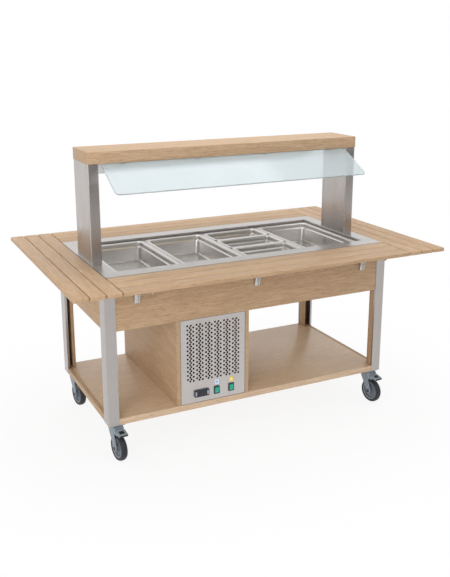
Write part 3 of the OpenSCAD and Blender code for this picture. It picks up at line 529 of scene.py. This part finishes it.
# %% [markdown]
# ## Canopy
# The beam over the food is a hollow oak box with mitred edges. It keeps the recess for its lamp, so it is
# copied from the engineering model and only its edges are eased.

# %% The canopy beam
bm = merged("canopy")
layer = bm.verts.layers.float.new("board")
CANOPY_ARRIS, CANOPY_BOARD = 0.0008, 50
ease(bm, sharp_edges(bm, 60), CANOPY_ARRIS, 2)
for vert in bm.verts:
    vert[layer] = CANOPY_BOARD
place("canopy_beam", bm, oak_x, "trolley", "oak", "canopy")

# %% [markdown]
# ## Folded steel legs
# Each leg is one sheet folded round the corner of the cart. A fold has a radius, so the outer corner is
# bevelled more than the cut edges, and light runs down it as a thin bright line.

# %% The legs
FOLD_RADIUS, CUT_EDGE = 0.0025, 0.0004
leg_low, leg_high = (Vector(c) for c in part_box("legs"))
bm = merged("legs")


def is_fold(edge):
    """True on the outer upright corner of a leg."""
    a, b = (v.co for v in edge.verts)
    near = 1e-4
    at_corner = all(abs(abs(p.x) - leg_high.x) < near and abs(abs(p.y) - leg_high.y) < near for p in (a, b))
    return at_corner and abs(a.z - b.z) > 0.1


ease(bm, [e for e in bm.edges if is_fold(e)], FOLD_RADIUS, 4)
ease(bm, sharp_edges(bm, 60), CUT_EDGE, 1)
place("folded_legs", bm, steel_z, "trolley", "stainless", "legs")

# %% [markdown]
# ## Casters
# The forks are moulded nylon with soft edges everywhere; a bevel of nearly two millimetres turns the
# engineering plates into mouldings. A sloping cover closes the gap between each fork's cheeks, and black
# caps cover the axle's ends.

# %% Forks, covers and axle caps
AXLE_Z = 0.0625
TRAIL, CASTER_TURN = 0.038, math.radians(7)
CASTER_X, CASTER_Y = 0.718, 0.330
CORNERS = (("front", "left", -1, -1), ("front", "right", 1, -1),
           ("rear", "left", -1, 1), ("rear", "right", 1, 1))


def at_caster(sx, sy):
    """From a caster's own axes, swivel at the origin and wheel towards -Y, to the trolley's."""
    return Matrix.Translation((sx * CASTER_X, sy * CASTER_Y, 0)) @ Matrix.Rotation(CASTER_TURN, 4, "Z")


FORK_EDGE = 0.0018
COVER_AT, COVER_SLOPE = Matrix.Translation((0, -0.0365, 0.1661)), math.atan2(10.4, 17)
COVER_SIZE = Matrix.Diagonal((0.0364, 0.0199, 0.002, 1))
CAP_RADIUS, CAP_THICK, CAP_EDGE, CAP_OUT = 0.0092, 0.0016, 0.0005, 0.0262
for end, side_name, sx, sy in CORNERS:
    where = at_caster(sx, sy)
    corner_name = f"{end}_{side_name}"
    body = f"caster_{corner_name}"
    bm = merged(f"fork_{corner_name}")
    ease(bm, sharp_edges(bm, 40), FORK_EDGE, 3)
    cover = where @ COVER_AT @ Matrix.Rotation(COVER_SLOPE, 4, "X")
    bmesh.ops.create_cube(bm, size=1, matrix=cover @ COVER_SIZE)
    place(f"hood_{corner_name}", bm, caster_grey, body, "caster_grey", f"fork_{corner_name}")

    bm = bmesh.new()
    for s in (-1, 1):
        outwards = Matrix.Translation((s * CAP_OUT, -TRAIL, AXLE_Z)) @ Matrix.Rotation(math.pi / 2, 4, "Y")
        disc = bmesh.ops.create_cone(bm, cap_ends=True, segments=32, radius1=CAP_RADIUS, radius2=CAP_RADIUS,
                                     depth=CAP_THICK, matrix=where @ outwards)
        rims = [e for e in edges_of(disc["verts"]) if e.calc_face_angle(0) > 1]
        ease(bm, rims, CAP_EDGE, 2)
    place(f"axle_caps_{corner_name}", bm, dark_plastic, body, "tyre")

# %% [markdown]
# ## Small fittings
# A cart like this is worked with wet hands by people in a hurry, so every control says what it does with a
# picture. The pictures here are thin inlays that stand a hair proud of the cap under them and ride with it:
# arrows on the keys, a bar and a ring on the switches, a snowflake and a lamp on the two tiles.

# %% Helpers for inlays
CONTROL_Z, PANEL_FACE_Y = 0.255, -0.374
CONTROLLER_X, KEY_X = -0.2925, 0.031
ROCKERS_X = {"cooling": -0.2115, "light": -0.1335}
ROCKER_TILT = math.radians(7)
INLAY = 0.0005


def bar(bm, where, width, height, turn=0.0):
    """A flat bar facing -Y, its middle at the origin of where, turned about Y."""
    size = Matrix.Diagonal((width, INLAY, height, 1))
    bmesh.ops.create_cube(bm, size=1, matrix=where @ Matrix.Rotation(turn, 4, "Y") @ size)


def ring(bm, where, radius, width):
    """A flat ring facing -Y, the first shape of its mesh: a small square carried once round the Y axis."""
    square = Matrix.Translation((radius, 0, 0)) @ Matrix.Diagonal((width, INLAY, 1, 1))
    grid = bmesh.ops.create_grid(bm, x_segments=1, y_segments=1, size=0.5, matrix=square)
    start = list({f for v in grid["verts"] for f in v.link_faces})
    bmesh.ops.spin(bm, geom=start, cent=(0, 0, 0), axis=(0, 1, 0), dvec=(0, 0, 0), angle=math.tau, steps=32,
                   use_merge=True, use_duplicate=False)
    bmesh.ops.delete(bm, geom=[f for f in start if f.is_valid], context="FACES_ONLY")
    bmesh.ops.transform(bm, matrix=where, verts=[v for v in bm.verts if v.link_faces])


print("inlay helpers ready")

# %% The controller's window and its keys
WINDOW_X, WINDOW_Z = 0.0228, 0.0098  # half its width and height
WINDOW_FACE_Y, WINDOW_BACK_Y, WINDOW_EDGE = -0.3808, -0.3796, 0.0003
bm = bmesh.new()
pane = block(bm, (CONTROLLER_X - WINDOW_X, WINDOW_FACE_Y, CONTROL_Z - WINDOW_Z),
             (CONTROLLER_X + WINDOW_X, WINDOW_BACK_Y, CONTROL_Z + WINDOW_Z))
ease(bm, edges_of(pane), WINDOW_EDGE, 2)
place("controller_window", bm, window_dark, "trolley", "black_plastic")

ARROW_RADIUS, ARROW_THICK, ARROW_RISE, KEY_FACE = 0.0021, 0.0003, 0.0055, 0.00825
for side_name, s in (("left", -1), ("right", 1)):
    bm = bmesh.new()
    for up in (-1, 1):
        at = (CONTROLLER_X + s * KEY_X, PANEL_FACE_Y - KEY_FACE, CONTROL_Z + up * ARROW_RISE)
        facing = Matrix.Rotation(math.pi / 2, 4, "X") @ Matrix.Rotation(up * math.pi / 2, 4, "Z")
        bmesh.ops.create_cone(bm, cap_ends=True, segments=3, radius1=ARROW_RADIUS, radius2=ARROW_RADIUS,
                              depth=ARROW_THICK, matrix=Matrix.Translation(at) @ facing)
    place(f"key_arrows_{side_name}", bm, dark_plastic, f"key_{side_name}", "black_plastic")

# %% Marks on the switches
ROCKER_IN, MARK_OUT, MARK_RISE = 0.004, -0.0093, 0.0080
RING_MARK, BAR_MARK = (0.0018, 0.0007), (0.0009, 0.0046)  # radius and line, line and height
for name, x in ROCKERS_X.items():
    cap = Matrix.Translation((x, PANEL_FACE_Y + ROCKER_IN, CONTROL_Z)) @ Matrix.Rotation(ROCKER_TILT, 4, "X")
    bm = bmesh.new()
    ring(bm, cap @ Matrix.Translation((0, MARK_OUT, -MARK_RISE)), *RING_MARK)
    bar(bm, cap @ Matrix.Translation((0, MARK_OUT, MARK_RISE)), *BAR_MARK)
    place(f"switch_marks_{name}", bm, switch_mark, f"rocker_{name}", "tile_white")

# %% The snowflake and the lamp on the tiles
TILE_Z, TILE_FACE_Y, INLAY_Y = 0.296, -0.3752, 0.0001
FLAKE_ARM, FLAKE_TWIG, TWIG_LEAN = (0.0013, 0.0145), (0.0009, 0.0030), math.radians(48)
TWIG_AT, TWIG_HALF = 0.0048, 0.0013
STEP = 0.00001  # crossing bars stand this much apart, so that no two faces share a plane


def on_tile(name):
    """The middle of a tile's face."""
    return Matrix.Translation((ROCKERS_X[name], TILE_FACE_Y - INLAY_Y, TILE_Z))


bm = bmesh.new()
for i in range(3):
    bar(bm, on_tile("cooling") @ Matrix.Translation((0, -3 * STEP * i, 0)), *FLAKE_ARM, i * math.pi / 3)
for i in range(6):
    tip = (on_tile("cooling") @ Matrix.Rotation(i * math.pi / 3, 4, "Y")
           @ Matrix.Translation((0, -INLAY_Y, TWIG_AT)))
    for lean in (-1, 1):
        out = Matrix.Translation((0, -2 * STEP * lean, TWIG_HALF))
        bar(bm, tip @ Matrix.Rotation(lean * TWIG_LEAN, 4, "Y") @ out, *FLAKE_TWIG)
place("snowflake", bm, symbol_blue, "trolley", "tile_white")

RAY, RAY_AT, BULB_RADIUS, BULB_THICK = (0.0011, 0.0028), 0.0066, 0.0037, 0.0006
bm = bmesh.new()
for i in range(8):
    turned = Matrix.Rotation(i * math.pi / 4, 4, "Y") @ Matrix.Translation((0, 0, RAY_AT))
    bar(bm, on_tile("light") @ turned, *RAY)
bmesh.ops.create_cone(bm, cap_ends=True, segments=32, radius1=BULB_RADIUS, radius2=BULB_RADIUS,
                      depth=BULB_THICK, matrix=on_tile("light") @ Matrix.Rotation(math.pi / 2, 4, "X"))
place("lamp_symbol", bm, symbol_white, "trolley", "tile_white")

# %% A dark line round the front panel: painted shadow
low, high = (Vector(c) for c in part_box("grille_panel"))
SHADOW_LINE, PROUD = 0.0014, 0.0004
face_y, back_y = low.y - PROUD, low.y + PROUD
# A dark strip stands where the gap between panel and boards shows only shade: painted shadow.
bm = bmesh.new()
for x in (low.x, high.x - SHADOW_LINE):
    block(bm, (x, face_y, low.z), (x + SHADOW_LINE, back_y, high.z))
for z in (low.z, high.z - SHADOW_LINE):
    block(bm, (low.x + SHADOW_LINE, face_y, z), (high.x - SHADOW_LINE, back_y, z + SHADOW_LINE))
place("panel_shadow_line", bm, dark_plastic, "trolley", "black_plastic")

# %% Grip pads and rubber tips on the brake pedals
TREAD_AT, TREAD_SLOPE = Matrix.Translation((0, -0.071, 0.1510)), math.atan2(12, 42)
PAD_SIZE, PAD_CORNER, PAD_EDGE = Matrix.Diagonal((0.024, 0.020, 0.0016, 1)), 0.002, 0.0004
RIB_X, RIB_FROM_Y, RIB_TO_Y, RIB_PITCH, RIB_Z = 0.0095, -0.0078, -0.0062, 0.0036, (0.0005, 0.0013)
TIP_LOW, TIP_HIGH, TIP_EDGE = (-0.0215, -0.0928, 0.1370), (0.0215, -0.0885, 0.1445), 0.0015
for side_name, sx in (("left", -1), ("right", 1)):
    bm = bmesh.new()
    bmesh.ops.create_cube(bm, size=1, matrix=PAD_SIZE)
    ease(bm, [e for e in bm.edges if abs(e.verts[0].co.z - e.verts[1].co.z) > 0.001], PAD_CORNER, 4)
    ease(bm, sharp_edges(bm, 60), PAD_EDGE, 1)
    for i in range(5):
        block(bm, (-RIB_X, RIB_FROM_Y + i * RIB_PITCH, RIB_Z[0]), (RIB_X, RIB_TO_Y + i * RIB_PITCH, RIB_Z[1]))
    tread = at_caster(sx, -1) @ TREAD_AT @ Matrix.Rotation(TREAD_SLOPE, 4, "X")
    bmesh.ops.transform(bm, matrix=tread, verts=bm.verts)
    known = set(bm.verts)
    tip = block(bm, TIP_LOW, TIP_HIGH)
    ease(bm, edges_of(tip), TIP_EDGE, 3)
    bmesh.ops.transform(bm, matrix=at_caster(sx, -1), verts=[v for v in bm.verts if v not in known])
    place(f"grip_pad_{side_name}", bm, dark_plastic, f"pedal_front_{side_name}", "tyre")

# %% [markdown]
# ## The remaining finishes
# Everything whose shape is already right just gets its finish here, from the worktop to the machine in its
# compartment. A table of finish and parts is easier to check than forty separate lines.

# %% Finish table
FINISHES = (
    (steel_x, ("stainless_top", "well_tank", "divider_bars")),
    (steel_pan, ("pan_left", "pan_centre", "pan_right",
                 "pan_third_front", "pan_third_middle", "pan_third_rear")),
    (steel_z, ("post_left", "post_right")),
    (steel_panel, ("grille_panel", "rear_vent_panel")),
    (steel_part, ("flap_brackets", "arms_front", "arms_rear", "arms_left", "arms_right", "glass_clamps")),
    (zinc, ("unit_tray", "caster_plates", "fan_shroud")),
    (frame_steel, ("top_frame",)),
    (foam, ("tank_insulation",)),
    (compressor_enamel, ("compressor",)),
    (fin_black, ("condenser",)),
    (dark_plastic, ("fan_motor", "condenser_fan", "cable_gland")),
    (bezel_navy, ("control_frames",)),
    (key_plastic, ("key_left", "key_right")),
    (switch_green, ("rocker_cooling", "rocker_light")),
    (tiles, ("symbol_tiles",)),
    (copper, ("pipework",)),
    (white_enamel, ("light_housing",)),
    (lamp_lens, ("light_lens",)),
    (glass, ("glass_front", "glass_rear")),
    (caster_grey, ("pedal_front_left", "pedal_front_right")),
)
for finish, names in FINISHES:
    dress(finish, *names)
print(sum(len(names) for finish, names in FINISHES), "parts dressed")

# %% [markdown]
# ## Tyres and hubs
# A wheel is a grey hub with a black tyre moulded round it. Both are one engineering part, so the finish
# itself tells them apart by distance from the axle: rubber outside the rim, nylon inside, and a paler ring
# of nylon at the rim's edge, which is a painted highlight.

# %% Wheel finish, one for each wheel
RIM_HIGHLIGHT_FROM, RUBBER_FROM = (0.0415, 0.0425), (0.0472, 0.0476)  # distances from the axle, in metres


def wheel_finish(name, axle):
    """A hub and a tyre, told apart by how far they lie from this axle."""
    finish, tree, shader = start_finish(name)
    spot = add(tree, "TexCoord").outputs["Object"]
    turned = add(tree, "Mapping", ("Vector", spot), vector_type="TEXTURE", Location=axle,
                 Rotation=(0, 0, CASTER_TURN)).outputs["Vector"]
    flat = add(tree, "VectorMath", (0, turned), operation="MULTIPLY")
    flat.inputs[1].default_value = (0, 1, 1)
    radius = add(tree, "VectorMath", (0, flat.outputs[0]), operation="LENGTH").outputs["Value"]
    grain = noise(tree, turned, 900.0, 2.0)
    dust = noise(tree, turned, 45.0, 4.0)
    rubber = two_tones(tree, mixed(tree, 0.5, dust, grain), (27, 30, 35), (44, 48, 55))
    nylon = two_tones(tree, mixed(tree, 0.4, dust, grain), (92, 99, 110), (112, 119, 130))
    # A paler ring at the hub's rim: painted highlight.
    hub = mixed(tree, level(tree, radius, 0, 1, *RIM_HIGHLIGHT_FROM), nylon, paint(140, 147, 157))
    outside = level(tree, radius, 0, 1, *RUBBER_FROM)
    wire(tree, shader, mixed(tree, outside, hub, rubber),
         level(tree, mixed(tree, 0.5, outside, dust), 0.42, 0.66))
    relief(tree, shader, grain, 0.15, 0.0003)
    return finish


for end, side_name, sx, sy in CORNERS:
    axle = at_caster(sx, sy) @ Vector((0, -TRAIL, AXLE_Z))
    dress(wheel_finish(f"wheel_{end}_{side_name}", axle), f"wheel_{end}_{side_name}")
print(len(CORNERS), "wheels dressed")

# %% [markdown]
# ## Floor and light
# The cart stands on a pale floor that fades to white, under one broad soft light overhead, one from the
# left front and a white sky all round. The floor takes the shadow; beyond the cart it turns into plain
# white, so no horizon shows. A dark card in front is seen only in reflections, where polished metal needs
# something dark.

# %% Floor
def seen_directly(tree):
    """1 where the camera looks, straight, by a mirror or through glass, and 0 for other light."""
    rays = add(tree, "LightPath").outputs
    seen = maths(tree, "MAXIMUM", rays["Is Camera Ray"], rays["Is Glossy Ray"])
    return maths(tree, "MAXIMUM", seen, rays["Is Transmission Ray"])


FLOOR_HALF, FLOOR_WHITE, FADE = 14, 0.88, (1.0, 2.4)  # white near the cart, and where it turns all white
bm = bmesh.new()
bmesh.ops.create_grid(bm, x_segments=1, y_segments=1, size=FLOOR_HALF)
floor_mesh = bpy.data.meshes.new("floor")
bm.to_mesh(floor_mesh)
bm.free()
floor = bpy.data.objects.new("floor", floor_mesh)
scene.collection.objects.link(floor)
floor_finish, tree, shader = start_finish("pale_floor", Roughness=0.9)
shader.inputs["Specular IOR Level"].default_value = 0.0
spot = add(tree, "TexCoord").outputs["Object"]
distance = add(tree, "VectorMath", (0, spot), operation="LENGTH").outputs["Value"]
patches = noise(tree, stretched(tree, (3, 3, 3)), 1.0)
wire(tree, shader, two_tones(tree, patches, (243, 243, 244), (246, 246, 247)))
white = add(tree, "Emission", Color=grey(1), Strength=1.0)
far = maths(tree, "MULTIPLY", seen_directly(tree), level(tree, distance, FLOOR_WHITE, 1, *FADE))
fade = add(tree, "MixShader", (0, far), (1, shader.outputs[0]), (2, white.outputs[0]))
tree.links.new(fade.outputs[0], tree.nodes["Material Output"].inputs["Surface"])
floor_mesh.materials.append(floor_finish)
print("floor", 2 * FLOOR_HALF, "m square")

# %% World and lamps
world = bpy.data.worlds.new("studio")
world.use_nodes = True
scene.world = world
tree = world.node_tree
sky = tree.nodes["Background"]
sky.inputs["Color"].default_value = grey(1)
sky.inputs["Strength"].default_value = 0.72
backdrop = add(tree, "Background", Color=grey(1), Strength=1.0)
both = add(tree, "MixShader", (0, seen_directly(tree)), (1, sky.outputs[0]), (2, backdrop.outputs[0]))
tree.links.new(both.outputs[0], tree.nodes["World Output"].inputs["Surface"])


def softbox(name, at, target, size, watts):
    """A rectangular soft light aimed at a point."""
    lamp = bpy.data.lights.new(name, "AREA")
    lamp.shape = "RECTANGLE"
    lamp.size, lamp.size_y = size
    lamp.energy = watts
    holder = bpy.data.objects.new(name, lamp)
    holder.location = at
    holder.rotation_euler = (Vector(target) - Vector(at)).to_track_quat("-Z", "Y").to_euler()
    scene.collection.objects.link(holder)
    print(name, watts, "W")


softbox("overhead", (0.3, 0.3, 4.2), (0.1, 0.2, 0.8), (5.0, 3.6), 84)
softbox("left_front", (-3.4, -3.6, 1.9), (-0.3, 0, 0.5), (2.6, 2.4), 62)


def dark_card(name, at, facing, width, height):
    """A dark board that only reflections see: it gives polished metal something dark to mirror."""
    bm = bmesh.new()
    turned = (Vector(facing) - Vector(at)).to_track_quat("Z", "Y").to_matrix().to_4x4()
    bmesh.ops.create_grid(bm, x_segments=1, y_segments=1, size=0.5,
                          matrix=Matrix.Translation(at) @ turned @ Matrix.Diagonal((width, height, 1, 1)))
    mesh = bpy.data.meshes.new(name)
    bm.to_mesh(mesh)
    bm.free()
    mesh.materials.append(card_grey)
    card = bpy.data.objects.new(name, mesh)
    scene.collection.objects.link(card)
    card.visible_camera = card.visible_diffuse = card.visible_shadow = card.visible_transmission = False
    print(name, "hides a", width, "m wide part of the studio from the metal")


card_grey = moulded("card_grey", (70, 66, 64), grain=0.02, rough=(0.8, 0.9))
dark_card("front_card", (2.2, -4.2, 1.15), (2.2, 0, 1.15), 7.0, 1.7)
